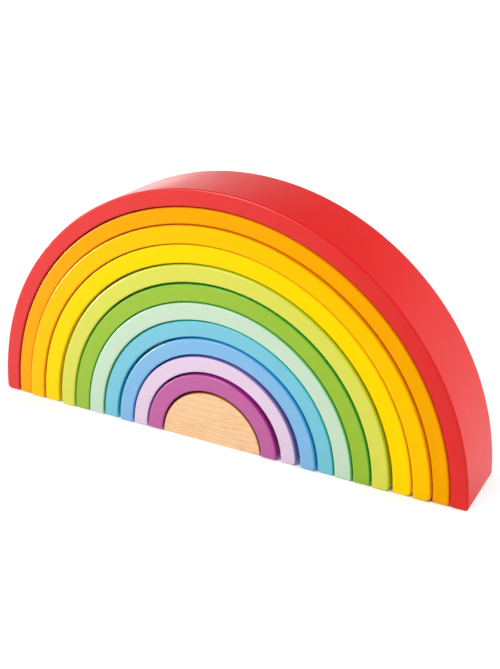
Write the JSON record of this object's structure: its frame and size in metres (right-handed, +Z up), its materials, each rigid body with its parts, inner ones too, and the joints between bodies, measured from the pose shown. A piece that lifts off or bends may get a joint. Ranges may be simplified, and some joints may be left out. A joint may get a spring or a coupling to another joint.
{
  "type": "rainbow stacker",
  "caption": "Wooden nesting rainbow: painted half-ring arches stand loose one inside the next round a bare half disc, and each slides or lifts out to stack and build with.",
  "frame": {"origin": "on the table under the middle of the outermost arch, in the middle of the set's depth", "axes": "+X along the set to the viewer's right, +Y from the front face to the back, +Z up"},
  "size_m": [0.3621, 0.0536, 0.1785],
  "materials": {
    "natural_beech": "sanded bare beech, matt",
    "purple_paint": "purple water-based paint on sanded wood, satin, the grain faintly telegraphing",
    "lilac_paint": "lilac water-based paint on sanded wood, satin, the grain faintly telegraphing",
    "blue_paint": "blue water-based paint on sanded wood, satin, the grain faintly telegraphing",
    "turquoise_paint": "turquoise water-based paint on sanded wood, satin, the grain faintly telegraphing",
    "mint_paint": "mint water-based paint on sanded wood, satin, the grain faintly telegraphing",
    "green_paint": "green water-based paint on sanded wood, satin, the grain faintly telegraphing",
    "lime_paint": "lime water-based paint on sanded wood, satin, the grain faintly telegraphing",
    "yellow_paint": "yellow water-based paint on sanded wood, satin, the grain faintly telegraphing",
    "amber_paint": "amber water-based paint on sanded wood, satin, the grain faintly telegraphing",
    "orange_paint": "orange water-based paint on sanded wood, satin, the grain faintly telegraphing",
    "red_paint": "red water-based paint on sanded wood, satin, the grain faintly telegraphing"
  },
  "bodies": {
    "natural_core": {"natural_core": "natural_beech"},
    "purple_arch": {"purple_arch": "purple_paint"},
    "lilac_arch": {"lilac_arch": "lilac_paint"},
    "blue_arch": {"blue_arch": "blue_paint"},
    "turquoise_arch": {"turquoise_arch": "turquoise_paint"},
    "mint_arch": {"mint_arch": "mint_paint"},
    "green_arch": {"green_arch": "green_paint"},
    "lime_arch": {"lime_arch": "lime_paint"},
    "yellow_arch": {"yellow_arch": "yellow_paint"},
    "amber_arch": {"amber_arch": "amber_paint"},
    "orange_arch": {"orange_arch": "orange_paint"},
    "red_arch": {"red_arch": "red_paint"}
  },
  "joints": [
    {"name": "purple_slide", "type": "slide", "parent": "natural_core", "child": "purple_arch", "axis": [0, -1, 0], "range_m": [-0.06, 0.06]},
    {"name": "lilac_slide", "type": "slide", "parent": "natural_core", "child": "lilac_arch", "axis": [0, -1, 0], "range_m": [-0.06, 0.06]},
    {"name": "blue_slide", "type": "slide", "parent": "natural_core", "child": "blue_arch", "axis": [0, -1, 0], "range_m": [-0.06, 0.06]},
    {"name": "turquoise_slide", "type": "slide", "parent": "natural_core", "child": "turquoise_arch", "axis": [0, -1, 0], "range_m": [-0.06, 0.06]},
    {"name": "mint_slide", "type": "slide", "parent": "natural_core", "child": "mint_arch", "axis": [0, -1, 0], "range_m": [-0.06, 0.06]},
    {"name": "green_slide", "type": "slide", "parent": "natural_core", "child": "green_arch", "axis": [0, -1, 0], "range_m": [-0.06, 0.06]},
    {"name": "lime_slide", "type": "slide", "parent": "natural_core", "child": "lime_arch", "axis": [0, -1, 0], "range_m": [-0.06, 0.06]},
    {"name": "yellow_slide", "type": "slide", "parent": "natural_core", "child": "yellow_arch", "axis": [0, -1, 0], "range_m": [-0.06, 0.06]},
    {"name": "amber_slide", "type": "slide", "parent": "natural_core", "child": "amber_arch", "axis": [0, -1, 0], "range_m": [-0.06, 0.06]},
    {"name": "orange_slide", "type": "slide", "parent": "natural_core", "child": "orange_arch", "axis": [0, -1, 0], "range_m": [-0.06, 0.06]},
    {"name": "red_slide", "type": "slide", "parent": "natural_core", "child": "red_arch", "axis": [0, -1, 0], "range_m": [-0.06, 0.06]}
  ]
}
